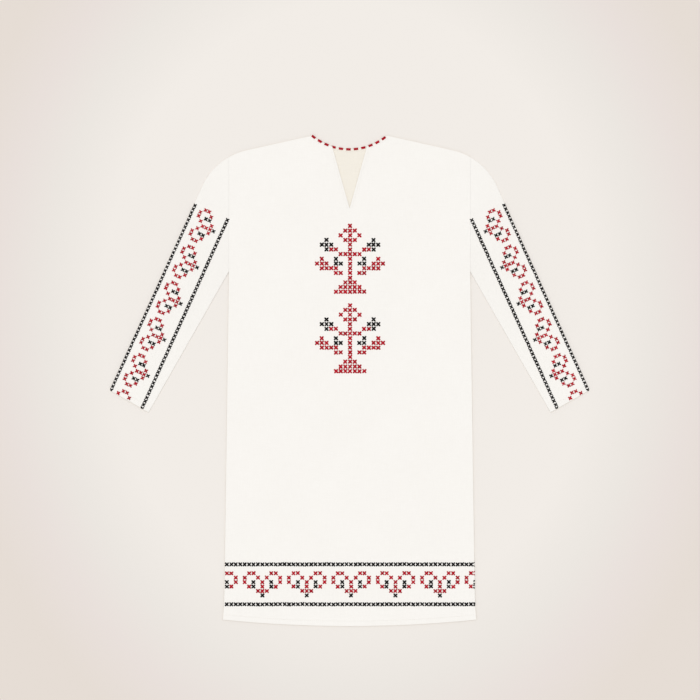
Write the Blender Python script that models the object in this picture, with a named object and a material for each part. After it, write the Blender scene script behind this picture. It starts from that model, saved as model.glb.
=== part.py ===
"""A long linen folk shirt (vyshyvanka), laid flat and face up.

The neck lies toward +Y, the hem toward -Y, and the wearer's left sleeve toward +X. The back
rests on z = 0 and the front lies on the back. Each sleeve is one tube, folded flat along its
outer edge. A "drop" is a distance toward the hem, from the level of the two neck points.
"""

import math
from collections import namedtuple

import bmesh
import bpy
import numpy as np

# Driving sizes, in metres and radians.
LENGTH = 1.050  # from the level of the neck points to the hem, at the middle
HEM_RISE = 0.014  # how much higher the hem ends at the side seams
HEM_HALF = 0.2716  # half the flat width at the hem
HEM_FLICK = 0.0026  # how much of that is the outward curve just above the hem
FLICK_LENGTH = 0.090  # how far above the hem that curve starts
ARMHOLE_HALF = 0.2585  # from the middle to the armhole seam
UNDERARM_DROP = 0.292

NECK_HALF = 0.080  # from the middle to a neck point
NECK_DEPTH = 0.029
SLIT_HALF = 0.037  # half the slit's width where it leaves the neck curve
SLIT_TIP_DROP = 0.155

SHOULDER_SLOPE = math.radians(12.6)  # the shoulder line, below level
OUTER_SLOPE = math.radians(65.6)  # the sleeve's outer edge, below level
CORNER_X = 0.287  # where those two lines would cross
CORNER_RADIUS = 0.137  # the round between them
INNER_LEAN = math.radians(29.7)  # the sleeve's under edge, away from upright
INNER_LENGTH = 0.346  # from the underarm to the cuff

WALL = 0.0012  # linen with its turned edges and its stitching
GAP = 0.0003  # between pieces and between layers
FOLD_RADIUS = WALL + GAP / 2  # outside of a sleeve's folded edge

# Soft rises in the top layer, each a line from one end to the other: (x, drop) of both ends,
# the height at its middle and the distance over which it fades sideways, in millimetres.
Rise = namedtuple("Rise", "x0 drop0 x1 drop1 height fade")
RISES = [
    Rise(x0=-205, drop0=250, x1=-60, drop1=470, height=1.6, fade=42),
    Rise(x0=215, drop0=265, x1=85, drop1=520, height=1.3, fade=48),
    Rise(x0=-150, drop0=560, x1=-172, drop1=985, height=1.5, fade=44),
    Rise(x0=18, drop0=600, x1=34, drop1=1000, height=1.1, fade=55),
    Rise(x0=158, drop0=500, x1=186, drop1=960, height=1.8, fade=46),
    Rise(x0=-52, drop0=420, x1=-84, drop1=760, height=0.9, fade=40),
    Rise(x0=-330, drop0=196, x1=-400, drop1=420, height=1.2, fade=34),
    Rise(x0=-372, drop0=300, x1=-448, drop1=500, height=0.9, fade=26),
    Rise(x0=318, drop0=212, x1=392, drop1=365, height=1.0, fade=36),
    Rise(x0=366, drop0=350, x1=452, drop1=522, height=1.3, fade=28),
]

# How finely each shape is divided.
COLUMNS_TO_NECK = 5
COLUMNS_TO_ARMHOLE = 7
ROWS_TO_TIP = 3
ROWS_BELOW_TIP = 21
SECTIONS_ROUND = 5
SECTIONS_STRAIGHT = 12
SLEEVE_COLUMNS = 8
FOLD_STEPS = 4

LINEN = (0.945, 0.918, 0.866, 1.0)
LINEN_ROUGHNESS = 0.9


def corner_drop():
    """The drop at which the shoulder line and the sleeve's outer line would cross."""
    return (CORNER_X - NECK_HALF) * math.tan(SHOULDER_SLOPE)


def round_centre():
    """Centre of the round between shoulder and sleeve, as x and drop."""
    half_turn = (OUTER_SLOPE - SHOULDER_SLOPE) / 2
    back_off = CORNER_RADIUS * math.tan(half_turn)
    start_x = CORNER_X - back_off * math.cos(SHOULDER_SLOPE)
    start_drop = corner_drop() - back_off * math.sin(SHOULDER_SLOPE)
    return (
        start_x - CORNER_RADIUS * math.sin(SHOULDER_SLOPE),
        start_drop + CORNER_RADIUS * math.cos(SHOULDER_SLOPE),
    )


def neck_drop(x):
    """The neck curve: a circle's arc through both neck points, deepest in the middle."""
    radius = (NECK_HALF**2 + NECK_DEPTH**2) / (2 * NECK_DEPTH)
    return NECK_DEPTH - radius + np.sqrt(radius**2 - x**2)


def top_drop(x):
    """The top edge: the neck curve, then the sloping shoulder, then the start of the round."""
    centre_x, centre_drop = round_centre()
    round_start = centre_x + CORNER_RADIUS * math.sin(SHOULDER_SLOPE)
    along_round = np.maximum(x, round_start) - centre_x
    rounded = centre_drop - np.sqrt(CORNER_RADIUS**2 - along_round**2)
    shoulder = (x - NECK_HALF) * math.tan(SHOULDER_SLOPE)
    edge = np.where(x < round_start, shoulder, rounded)
    return np.where(x < NECK_HALF, neck_drop(np.minimum(x, NECK_HALF)), edge)


def side_half(drop):
    """Half the body's width: level along the armhole, then an even flare, and a cubic curve
    outward over the last stretch to the hem."""
    hem_corner = LENGTH - HEM_RISE
    flare = np.maximum((drop - UNDERARM_DROP) / (hem_corner - UNDERARM_DROP), 0)
    flick = np.maximum(1 - (hem_corner - drop) / FLICK_LENGTH, 0)
    full = ARMHOLE_HALF + (HEM_HALF - HEM_FLICK - ARMHOLE_HALF) * flare + HEM_FLICK * flick**3
    return full - GAP / 2


def slit_half(drop):
    """Half the slit's width: a straight taper from the neck curve to the tip."""
    top = neck_drop(SLIT_HALF)
    return SLIT_HALF * np.maximum(SLIT_TIP_DROP - drop, 0) / (SLIT_TIP_DROP - top)


def rise_at(x, drop):
    """Height of the soft rises: each is a bell across its line and a half sine along it."""
    total = np.zeros_like(x)
    for rise in RISES:
        x0, drop0, x1, drop1, height, fade = (value / 1000 for value in rise)
        along = ((x - x0) * (x1 - x0) + (drop - drop0) * (drop1 - drop0)) / (
            (x1 - x0) ** 2 + (drop1 - drop0) ** 2
        )
        along = np.clip(along, 0, 1)
        away = np.hypot(x - x0 - along * (x1 - x0), drop - drop0 - along * (drop1 - drop0))
        total += height * np.sin(math.pi * along) * np.exp(-((away / fade) ** 2))
    return total


def to_world(x, drop, z):
    """Points in the row's frame, whose y is 0 half way down the shirt."""
    return np.stack([x, LENGTH / 2 - drop, z], axis=-1).reshape(-1, 3)


def linen(name):
    """Matt off-white linen for one piece."""
    material = bpy.data.materials.new(name)
    material.use_nodes = True
    shader = material.node_tree.nodes["Principled BSDF"]
    shader.inputs["Base Color"].default_value = LINEN
    shader.inputs["Roughness"].default_value = LINEN_ROUGHNESS
    shader.inputs["Metallic"].default_value = 0.0
    return material


def add_piece(name, points, faces):
    """One closed object from its points and faces, with doubles merged and faces outward."""
    mesh = bpy.data.meshes.new(name)
    mesh.from_pydata(points.tolist(), [], faces)
    work = bmesh.new()
    work.from_mesh(mesh)
    bmesh.ops.remove_doubles(work, verts=work.verts, dist=1e-6)
    bmesh.ops.recalc_face_normals(work, faces=work.faces)
    work.to_mesh(mesh)
    work.free()
    mesh.materials.append(linen(name + "_linen"))
    piece = bpy.data.objects.new(name, mesh)
    bpy.context.collection.objects.link(piece)


def half_panel(slit):
    """Grid of x and drop over the right half of a panel, rows down and columns outward.

    Each column starts at its own place on the top edge, keeps its share of the way from the
    slit's edge (or the middle) to the side, and ends on the hem.
    """
    start = SLIT_HALF if slit else 0.0
    to_neck = np.linspace(start, NECK_HALF, COLUMNS_TO_NECK + 1)
    armhole = ARMHOLE_HALF - GAP / 2
    to_armhole = np.linspace(NECK_HALF, armhole, COLUMNS_TO_ARMHOLE + 1)
    top_x = np.concatenate([to_neck, to_armhole[1:]])
    top = top_drop(top_x)
    opening = slit_half(top) if slit else np.zeros_like(top)
    share = (top_x - opening) / (armhole - opening)

    hem = LENGTH - HEM_RISE * share**2
    first = top_drop(start)
    tip = (SLIT_TIP_DROP - first) / (LENGTH - first)
    rows = np.concatenate(
        [
            np.linspace(0, tip, ROWS_TO_TIP + 1),
            np.linspace(tip, 1, ROWS_BELOW_TIP + 1)[1:],
        ]
    )[:, None]
    drop = top + rows * (hem - top)
    opening = slit_half(drop) if slit else np.zeros_like(drop)
    return opening + share * (side_half(drop) - opening), drop


def add_panel(name, slit, bottom_z, rises):
    """A body panel: both halves of its grid, its lower face, and the wall round its edge."""
    x, drop = half_panel(slit)
    rows, columns = x.shape
    height = rise_at(x, drop), rise_at(-x, drop)
    points, faces = [], []
    for sign, lift in zip((1, -1), height):
        for level in (WALL, 0.0):
            z = bottom_z + level + (lift if rises else 0 * lift)
            points.append(to_world(sign * x, drop, z))

    def point(side, layer, row, column):
        return ((side * 2 + layer) * rows + row) * columns + column

    tip_row = ROWS_TO_TIP if slit else 0
    for side in (0, 1):
        for row in range(rows - 1):
            for column in range(columns - 1):
                corners = [
                    (row, column),
                    (row, column + 1),
                    (row + 1, column + 1),
                    (row + 1, column),
                ]
                for layer in (0, 1):
                    faces.append([point(side, layer, *corner) for corner in corners])
        edge = [(0, column) for column in range(columns)]
        edge += [(row, columns - 1) for row in range(1, rows)]
        edge += [(rows - 1, column) for column in range(columns - 2, -1, -1)]
        slit_edge = [(row, 0) for row in range(tip_row, -1, -1)]
        for run in (edge, slit_edge):
            for here, there in zip(run, run[1:]):
                upper = point(side, 0, *here), point(side, 0, *there)
                lower = point(side, 1, *there), point(side, 1, *here)
                faces.append([*upper, *lower])
    add_piece(name, np.concatenate(points), faces)


def sleeve_edges():
    """Points along the outer edge, and as many along the straight under edge, as x and drop.

    The outer edge leaves the armhole on the round and goes on in a straight line. Both start
    at the armhole seam and end at the cuff, which is square to the under edge.
    """
    seam_x = ARMHOLE_HALF + GAP / 2
    centre_x, centre_drop = round_centre()
    first = math.asin((seam_x - centre_x) / CORNER_RADIUS)
    turn = np.linspace(first, OUTER_SLOPE, SECTIONS_ROUND + 1)
    round_x = centre_x + CORNER_RADIUS * np.sin(turn)
    round_drop = centre_drop - CORNER_RADIUS * np.cos(turn)

    inner_x = seam_x + INNER_LENGTH * math.sin(INNER_LEAN)
    inner_drop = UNDERARM_DROP + INNER_LENGTH * math.cos(INNER_LEAN)
    directions = [
        [math.cos(INNER_LEAN), -math.cos(OUTER_SLOPE)],
        [-math.sin(INNER_LEAN), -math.sin(OUTER_SLOPE)],
    ]
    corner_apart = [round_x[-1] - inner_x, round_drop[-1] - inner_drop]
    _, reach = np.linalg.solve(directions, corner_apart)
    steps = np.linspace(0, reach, SECTIONS_STRAIGHT + 1)[1:]
    outer = np.stack(
        [
            np.concatenate([round_x, round_x[-1] + steps * math.cos(OUTER_SLOPE)]),
            np.concatenate([round_drop, round_drop[-1] + steps * math.sin(OUTER_SLOPE)]),
        ],
        axis=-1,
    )
    walked = np.hypot(*np.diff(outer, axis=0).T)
    share = np.concatenate([[0], np.cumsum(walked)])[:, None] / walked.sum()
    underarm = np.array([seam_x, UNDERARM_DROP])
    cuff_corner = np.array([inner_x, inner_drop])
    return outer, underarm * (1 - share) + cuff_corner * share


def flat_ring(width, radius):
    """Across-and-up outline of a flattened tube: a level top, a level bottom, two round ends.

    Across runs from the under edge to the outer edge, and up is measured from the middle.
    """
    level = np.linspace(FOLD_RADIUS, width - FOLD_RADIUS, SLEEVE_COLUMNS + 1)
    turn = np.linspace(0, math.pi, FOLD_STEPS + 1)[1:-1]
    across = [
        level,
        level[-1] + radius * np.sin(turn),
        level[::-1],
        level[0] - radius * np.sin(turn),
    ]
    up = [
        np.full(level.size, radius),
        radius * np.cos(turn),
        np.full(level.size, -radius),
        -radius * np.cos(turn),
    ]
    return np.concatenate(across), np.concatenate(up)


def add_sleeve(name, sign):
    """A sleeve: an outer and an inner ring at each section, joined along and at both ends."""
    outer, inner = sleeve_edges()
    points, faces = [], []
    for radius in (FOLD_RADIUS, GAP / 2):
        for tip, root in zip(outer, inner):
            width = np.hypot(*(tip - root))
            across, up = flat_ring(width, radius)
            place = root + (across / width)[:, None] * (tip - root)
            x, drop = sign * place[:, 0], place[:, 1]
            share = np.clip(across / width, 0, 1)
            lift = np.where(up >= radius, rise_at(x, drop) * np.sin(math.pi * share), 0)
            points.append(to_world(x, drop, FOLD_RADIUS + up + lift))
    sections, around = len(outer), points[0].shape[0]

    def point(shell, section, step):
        return (shell * sections + section) * around + step % around

    for step in range(around):
        for shell in (0, 1):
            for section in range(sections - 1):
                here = point(shell, section, step), point(shell, section, step + 1)
                beyond = point(shell, section + 1, step + 1), point(shell, section + 1, step)
                faces.append([*here, *beyond])
        for section in (0, sections - 1):
            outside = point(0, section, step), point(0, section, step + 1)
            inside = point(1, section, step + 1), point(1, section, step)
            faces.append([*outside, *inside])
    add_piece(name, np.concatenate(points), faces)


def main():
    for old in list(bpy.data.objects):
        bpy.data.objects.remove(old)
    add_panel("back", slit=False, bottom_z=0.0, rises=False)
    add_panel("front", slit=True, bottom_z=WALL + GAP, rises=True)
    add_sleeve("sleeve_left", 1)
    add_sleeve("sleeve_right", -1)


main()
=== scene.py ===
"""The looks of a vyshyvanka laid flat and face up: linen, turned edges and cross stitch.

Each linen piece is a closed thin shell on its solid's form. The embroidery is real thread, laid
over the same surface. A "drop" is a distance toward the hem, from the level of the neck points.
"""

import math
from collections import namedtuple

import bpy
import numpy as np
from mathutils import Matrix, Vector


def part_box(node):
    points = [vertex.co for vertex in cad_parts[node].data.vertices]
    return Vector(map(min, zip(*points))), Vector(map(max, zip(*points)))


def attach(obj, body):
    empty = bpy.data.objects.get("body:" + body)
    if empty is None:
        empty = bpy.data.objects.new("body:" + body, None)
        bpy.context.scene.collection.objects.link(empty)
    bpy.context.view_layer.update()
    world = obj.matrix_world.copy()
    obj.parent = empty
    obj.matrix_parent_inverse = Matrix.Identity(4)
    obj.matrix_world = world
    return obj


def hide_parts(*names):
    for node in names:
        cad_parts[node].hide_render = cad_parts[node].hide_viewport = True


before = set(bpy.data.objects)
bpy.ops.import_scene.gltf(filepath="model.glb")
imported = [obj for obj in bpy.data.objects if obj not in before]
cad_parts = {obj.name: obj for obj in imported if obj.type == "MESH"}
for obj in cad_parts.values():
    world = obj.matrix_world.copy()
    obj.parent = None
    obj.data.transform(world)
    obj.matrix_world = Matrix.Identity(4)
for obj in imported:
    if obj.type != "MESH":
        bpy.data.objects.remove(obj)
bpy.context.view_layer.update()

MM = 0.001
TAU = 2 * math.pi

# ---------------------------------------------------------------------------- the cut
# Sizes that the solids give.
FRONT_LOW, FRONT_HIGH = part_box("front")
BACK_LOW, BACK_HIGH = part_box("back")
SLEEVE_LOW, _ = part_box("sleeve_left")
WALL = BACK_HIGH.z - BACK_LOW.z
GAP = FRONT_LOW.z - BACK_HIGH.z
TOP_Y = FRONT_HIGH.y
LENGTH = FRONT_HIGH.y - FRONT_LOW.y
ARMHOLE_HALF = SLEEVE_LOW.x - GAP / 2
HEM_HALF = FRONT_HIGH.x + GAP / 2

# Sizes of the cut that no box gives, the same as the solids'.
HEM_RISE = 14 * MM  # from the hem's middle up to its corners
HEM_FLICK = 2.6 * MM  # how far the side swings out at the hem, past its even flare
FLICK_LENGTH = 90 * MM
UNDERARM_DROP = 292 * MM
NECK_HALF = 80 * MM
NECK_DEPTH = 29 * MM
SLIT_HALF = 37 * MM  # at the neck curve
SLIT_TIP_DROP = 155 * MM
SHOULDER_SLOPE = math.radians(12.6)  # below level
OUTER_SLOPE = math.radians(65.6)  # the sleeve's outer edge, below level
CORNER_X = 287 * MM  # where the lines of the shoulder and of the outer edge would meet
CORNER_RADIUS = 137 * MM  # of the round that takes that corner's place
INNER_LEAN = math.radians(29.7)  # the sleeve's under edge, from upright
INNER_LENGTH = 346 * MM

# Worked out from them. The neck is a circle's arc through both neck points.
NECK_RADIUS = (NECK_HALF**2 + NECK_DEPTH**2) / (2 * NECK_DEPTH)
NECK_CENTRE = NECK_DEPTH - NECK_RADIUS  # the drop of the arc's centre
CORNER_DROP = (CORNER_X - NECK_HALF) * math.tan(SHOULDER_SLOPE)

FOLD_RADIUS = WALL + GAP / 2
SLEEVE_TOP = 2 * FOLD_RADIUS
EDGE_RADIUS = 0.55 * MM  # how round a panel's edge is
SEAM_RADIUS = 0.06 * MM  # the same at the armhole, where the sleeve is sewn on
SEAM_GAP = 0.03 * MM  # between body and sleeve there
SEAM_REACH = 1 * MM  # how near the armhole's line an edge is part of the seam
FRONT_THINNER = 0.1 * MM  # how much less than the wall the front's single cloth measures

# Soft rises in the top layer, as in the solids: (x, drop) of both ends, the height at its
# middle and the distance over which it fades sideways, in millimetres.
Rise = namedtuple("Rise", "x0 drop0 x1 drop1 height fade")
RISES = [
    Rise(x0=-205, drop0=250, x1=-60, drop1=470, height=1.6, fade=42),
    Rise(x0=215, drop0=265, x1=85, drop1=520, height=1.3, fade=48),
    Rise(x0=-150, drop0=560, x1=-172, drop1=985, height=1.5, fade=44),
    Rise(x0=18, drop0=600, x1=34, drop1=1000, height=1.1, fade=55),
    Rise(x0=158, drop0=500, x1=186, drop1=960, height=1.8, fade=46),
    Rise(x0=-52, drop0=420, x1=-84, drop1=760, height=0.9, fade=40),
    Rise(x0=-330, drop0=196, x1=-400, drop1=420, height=1.2, fade=34),
    Rise(x0=-372, drop0=300, x1=-448, drop1=500, height=0.9, fade=26),
    Rise(x0=318, drop0=212, x1=392, drop1=365, height=1.0, fade=36),
    Rise(x0=366, drop0=350, x1=452, drop1=522, height=1.3, fade=28),
]

# Turned edges: how wide the turning is, and how much it adds to the thickness.
TURN_HEIGHT = 0.30 * MM
HEM_TURN = 13 * MM
CUFF_TURN = 13 * MM
NECK_TURN = 6 * MM
TURN_STEP = 1.1 * MM  # the distance over which a turning falls to the single cloth

# The back's cloth stands off the floor over its own stitches, and comes down beside them.
BAND_HOLLOW = 0.55 * MM
BAND_FADE = 6 * MM
NECK_HOLLOW_REACH = 7 * MM
NECK_FADE = 5 * MM

# How far in from a sleeve's long edges its turning and its soft rises reach their full height.
CUFF_FADE = 4 * MM
RISE_FADE = 30 * MM

# ---------------------------------------------------------------------------- the embroidery
TREE_PITCH = 10.06 * MM
TREE_X = 1.0 * MM
HEM_PITCH = 9.49 * MM
SLEEVE_PITCH = 8.5 * MM
TREE_TOP_DROPS = (193.6 * MM, 363.4 * MM)
HEM_TOP_DROP = 917.5 * MM
HEM_FIRST_X = -262.4 * MM
HEM_COUNT = 57
HEM_REPEAT_START = 28  # the stitch, counted from the first, that a motif is centred on
SLEEVE_EDGE_INSET = 2.4 * MM  # from the fold to the middle of the outer row of stitches
SLEEVE_FIRST = 112.3 * MM  # from the corner of the two edge lines to the first stitch
SLEEVE_COUNT = 54
SLEEVE_REPEAT_START = 4

CROSS_SPAN = 0.83  # of the pitch, between the ends of a leg's middle line
THREAD_HALF = 0.184  # of the pitch, half a leg's width
THREAD_HEIGHT = 0.50 * MM  # half a leg's thickness
CUT_MARGIN = 0.5 * MM  # how far from a cutting line a leg stops
SHORTEST_LEG = 0.35  # of half a leg, the least that is left of a cut one

# How uneven hand stitches are, as standard deviations.
TONE_SPREAD = 0.22
PLACE_SPREAD = 0.018  # of the pitch
TURN_SPREAD = 0.035  # in radians
WIDTH_SPREAD = 0.07  # of a leg's width
REACH_SPREAD = 0.02  # of a leg's length

NECK_DASHES = 11
NECK_DASH_FIRST = -82.4 * MM  # from the neck's middle, along its curve
NECK_DASH_STEP = 16.0 * MM
NECK_DASH_LENGTH = 9.8 * MM
NECK_DASH_WIDTH = 5.0 * MM
NECK_DASH_INSET = 0.7 * MM  # from the neck's edge to the middle of the stitches

# The border's small repeat, ten stitches long. Each row is a row of stitches between the two
# black lines, and lists how far its stitches lie from the motif's middle.
BorderRow = namedtuple("BorderRow", "row red black")
BORDER_HEIGHT = 9
BORDER_REPEAT = 10
BORDER = [
    BorderRow(row=2, red=(-3, -2, 2, 3), black=()),
    BorderRow(row=3, red=(-4, -1, 1, 4), black=()),
    BorderRow(row=4, red=(-4, 0, 4), black=(-2, 2)),
    BorderRow(row=5, red=(-3, 0, 3), black=(-2, 2)),
    BorderRow(row=6, red=(-1, 0, 1), black=()),
    BorderRow(row=7, red=(), black=(0,)),
]

# A blossom's five stitches, across and down from its middle.
PLUS = ((0, 0), (-1, 0), (1, 0), (0, -1), (0, 1))

# Stitches of a tree's right half, across from its stem and down from its top.
UPPER_BRANCH = ((1, 6), (2, 6), (3, 5), (4, 5))
LOWER_BRANCH = ((2, 10), (3, 10), (3, 9), (4, 9), (5, 9))
BUD = ((3, 7), (2, 8), (3, 8))


def tree_chart():
    """The tree of life, drawn stroke by stroke: a stem, a diamond crown, two pairs of branches
    that end in plus-shaped blossoms, a bud on each lower branch, and a stepped base.

    Returns the red and the black stitches as sets of (across, down), across from the stem.
    """
    red = {(0, down) for down in range(15)}
    red |= {(across, down) for down in range(1, 4) for across in range(-2, 3)
            if abs(across) + abs(down - 2) == 2}
    red |= {(across, down) for down in range(12, 15) for across in range(11 - down, down - 10)}
    black = set()
    for side in (-1, 1):
        red |= {(side * across, down) for across, down in UPPER_BRANCH + LOWER_BRANCH}
        red |= {(side * (6 + across), 8 + down) for across, down in PLUS}
        black |= {(side * (5 + across), 4 + down) for across, down in PLUS}
        black |= {(side * across, down) for across, down in BUD}
    return red, black


# ---------------------------------------------------------------------------- outlines
def round_centre():
    """Centre of the round between shoulder and sleeve: back from the corner along the shoulder
    line by radius times the tangent of half the turn, then in by the radius."""
    back_off = CORNER_RADIUS * math.tan((OUTER_SLOPE - SHOULDER_SLOPE) / 2)
    start_x = CORNER_X - back_off * math.cos(SHOULDER_SLOPE)
    start_drop = CORNER_DROP - back_off * math.sin(SHOULDER_SLOPE)
    return (
        start_x - CORNER_RADIUS * math.sin(SHOULDER_SLOPE),
        start_drop + CORNER_RADIUS * math.cos(SHOULDER_SLOPE),
    )


ROUND_X, ROUND_DROP = round_centre()


def neck_drop(x):
    """The neck curve: a circle's arc through both neck points, deepest in the middle."""
    return NECK_CENTRE + np.sqrt(NECK_RADIUS**2 - x**2)


def top_drop(x):
    """The top edge: the neck curve, then the sloping shoulder, then the start of the round."""
    round_start = ROUND_X + CORNER_RADIUS * math.sin(SHOULDER_SLOPE)
    along_round = np.maximum(x, round_start) - ROUND_X
    rounded = ROUND_DROP - np.sqrt(CORNER_RADIUS**2 - along_round**2)
    shoulder = (x - NECK_HALF) * math.tan(SHOULDER_SLOPE)
    edge = np.where(x < round_start, shoulder, rounded)
    return np.where(x < NECK_HALF, neck_drop(np.minimum(x, NECK_HALF)), edge)


def side_half(drop):
    """Half the body's width: level along the armhole, then an even flare, and a cubic curve
    outward over the last stretch to the hem."""
    hem_corner = LENGTH - HEM_RISE
    flare = np.maximum((drop - UNDERARM_DROP) / (hem_corner - UNDERARM_DROP), 0)
    flick = np.maximum(1 - (hem_corner - drop) / FLICK_LENGTH, 0)
    even = ARMHOLE_HALF + (HEM_HALF - HEM_FLICK - ARMHOLE_HALF) * flare
    return even + HEM_FLICK * flick**3 - GAP / 2


def slit_half(drop):
    """Half the slit's width: a straight taper from the neck curve to the tip."""
    return SLIT_HALF * np.maximum(SLIT_TIP_DROP - drop, 0) / (SLIT_TIP_DROP - neck_drop(SLIT_HALF))


def hem_drop(x):
    """The hem: a shallow parabola, lowest in the middle."""
    return LENGTH - HEM_RISE * (x / HEM_HALF) ** 2


def along_sleeve(x, drop):
    """Distances along the sleeve's straight outer edge, from the corner, and inward from it."""
    dx, dd = np.abs(x) - CORNER_X, drop - CORNER_DROP
    along = dx * math.cos(OUTER_SLOPE) + dd * math.sin(OUTER_SLOPE)
    inward = dd * math.cos(OUTER_SLOPE) - dx * math.sin(OUTER_SLOPE)
    return along, inward


def sleeve_place(along, inward):
    """The x and drop of a place given from the sleeve's outer edge, the other way round."""
    x = CORNER_X + along * math.cos(OUTER_SLOPE) - inward * math.sin(OUTER_SLOPE)
    drop = CORNER_DROP + along * math.sin(OUTER_SLOPE) + inward * math.cos(OUTER_SLOPE)
    return x, drop


def outer_distance(x, drop):
    """How far a point lies inside the sleeve's outer edge: from the round where it faces it,
    from the straight edge elsewhere."""
    _, inward = along_sleeve(x, drop)
    dx, dd = np.abs(x) - ROUND_X, drop - ROUND_DROP
    facing = np.arctan2(dx, -dd) < OUTER_SLOPE
    return np.where(facing, CORNER_RADIUS - np.hypot(dx, dd), inward)


def under_distance(x, drop):
    """How far a point lies inside the sleeve's straight under edge."""
    dx, dd = np.abs(x) - ARMHOLE_HALF - GAP / 2, drop - UNDERARM_DROP
    return dx * math.cos(INNER_LEAN) - dd * math.sin(INNER_LEAN)


def cuff_distance(x, drop):
    """How far a point lies from the cuff's edge, which is square to the under edge."""
    dx, dd = np.abs(x) - ARMHOLE_HALF - GAP / 2, drop - UNDERARM_DROP
    return INNER_LENGTH - dx * math.sin(INNER_LEAN) - dd * math.cos(INNER_LEAN)


# ---------------------------------------------------------------------------- heights
def smooth(value):
    """The smooth step 3t² - 2t³, held at 0 and 1 outside that range."""
    t = np.clip(value, 0, 1)
    return t * t * (3 - 2 * t)


def rise_at(x, drop):
    """Height of the soft rises: each is a bell across its line and a half sine along it."""
    total = np.zeros(np.shape(x))
    for rise in RISES:
        x0, drop0, x1, drop1, height, fade = (value * MM for value in rise)
        along = (x - x0) * (x1 - x0) + (drop - drop0) * (drop1 - drop0)
        along = np.clip(along / ((x1 - x0) ** 2 + (drop1 - drop0) ** 2), 0, 1)
        away = np.hypot(x - x0 - along * (x1 - x0), drop - drop0 - along * (drop1 - drop0))
        total += height * np.sin(math.pi * along) * np.exp(-((away / fade) ** 2))
    return total


def turning(distance, width):
    """Extra thickness of a turned edge: full up to its width, then down over a short step."""
    return TURN_HEIGHT * (1 - smooth((distance - width) / TURN_STEP))


def neck_distance(x, drop):
    """Distance from the neck curve, measured along its radius."""
    return np.hypot(x, drop - NECK_CENTRE) - NECK_RADIUS


def slit_distance(x, drop):
    """Distance from the slit's edge, square to it, and from its tip below that."""
    lean = SLIT_HALF / (SLIT_TIP_DROP - neck_drop(SLIT_HALF))
    square = (np.abs(x) - lean * (SLIT_TIP_DROP - drop)) / math.hypot(1, lean)
    below = (drop - SLIT_TIP_DROP) - lean * np.abs(x) > 0
    return np.where(below, np.hypot(x, drop - SLIT_TIP_DROP), square)


def front_turnings(x, drop):
    """The thickest turning that reaches a point of the front: hem, neck or slit."""
    hem = turning(hem_drop(x) - drop, HEM_TURN)
    neck = turning(neck_distance(x, drop), NECK_TURN)
    slit = turning(slit_distance(x, drop), NECK_TURN)
    return np.maximum(np.maximum(hem, neck), slit)


def back_turnings(x, drop):
    """The thickest turning that reaches a point of the back: hem or neck."""
    hem = turning(hem_drop(x) - drop, HEM_TURN)
    return np.maximum(hem, turning(neck_distance(x, drop), NECK_TURN))


def front_top(x, drop):
    """Upper face of the front."""
    return BACK_HIGH.z + GAP + WALL + front_turnings(x, drop) + rise_at(x, drop)


def front_under(x, drop):
    """Lower face of the front, which lies on the back."""
    return BACK_HIGH.z + GAP + FRONT_THINNER + rise_at(x, drop)


def back_top(x, drop):
    """Upper face of the back, the shirt's inside."""
    return WALL - TURN_HEIGHT + back_turnings(x, drop)


def back_under(x, drop):
    """Lower face of the back: level, but raised over the embroidered band and the neck stitch,
    whose threads lie between the cloth and the floor."""
    band_top = HEM_TOP_DROP - HEM_PITCH
    band_end = HEM_TOP_DROP + (BORDER_HEIGHT + 1) * HEM_PITCH
    band = smooth((drop - band_top) / BAND_FADE) * smooth((band_end - drop) / BAND_FADE)
    neck = 1 - smooth((neck_distance(x, drop) - NECK_HOLLOW_REACH) / NECK_FADE)
    return BAND_HOLLOW * np.maximum(band, neck)


def sleeve_top(x, drop):
    """Upper face of a sleeve: level, with the soft rises and the cuff's turning faded out
    toward both long edges."""
    edge = np.minimum(outer_distance(x, drop), under_distance(x, drop))
    turned = turning(cuff_distance(x, drop), CUFF_TURN) * smooth(edge / CUFF_FADE)
    return SLEEVE_TOP + rise_at(x, drop) * smooth(edge / RISE_FADE) + turned


# ---------------------------------------------------------------------------- mesh helpers
def to_world(x, drop, z):
    """Points in the row's frame."""
    return np.stack(np.broadcast_arrays(x, TOP_Y - drop, z), axis=-1).reshape(-1, 3)


def add_mesh(name, points, faces, materials, uv=None, flip=False):
    """One smooth-shaded object at the origin, from arrays of points and of quads.

    uv gives each point's place on the cloth, in metres, for the weave.
    """
    faces = np.asarray(faces, dtype=np.int32)
    if flip:
        faces = faces[:, ::-1]
    mesh = bpy.data.meshes.new(name)
    mesh.vertices.add(len(points))
    mesh.vertices.foreach_set("co", np.asarray(points, dtype=np.float32).ravel())
    mesh.loops.add(faces.size)
    mesh.loops.foreach_set("vertex_index", faces.ravel())
    mesh.polygons.add(len(faces))
    starts = np.arange(0, faces.size, faces.shape[1], dtype=np.int32)
    mesh.polygons.foreach_set("loop_start", starts)
    mesh.update(calc_edges=True)
    mesh.validate()
    mesh.polygons.foreach_set("use_smooth", np.ones(len(mesh.polygons), dtype=bool))
    if uv is not None:
        layer = mesh.uv_layers.new(name="cloth")
        corner = np.empty(len(mesh.loops), dtype=np.int32)
        mesh.loops.foreach_get("vertex_index", corner)
        layer.data.foreach_set("uv", np.asarray(uv, dtype=np.float32)[corner].ravel())
    for material in materials:
        mesh.materials.append(material)
    piece = bpy.data.objects.new(name, mesh)
    bpy.context.scene.collection.objects.link(piece)
    return piece


def set_tone(piece, tone):
    """A number for each point, which the materials read: on linen how far painted shade darkens its
    rounded edge, and how dark a small linen stitch's own tone is; on thread how bright a stitch is."""
    layer = piece.data.attributes.new("tone", "FLOAT", "POINT")
    layer.data.foreach_set("value", np.asarray(tone, dtype=np.float32))


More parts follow.
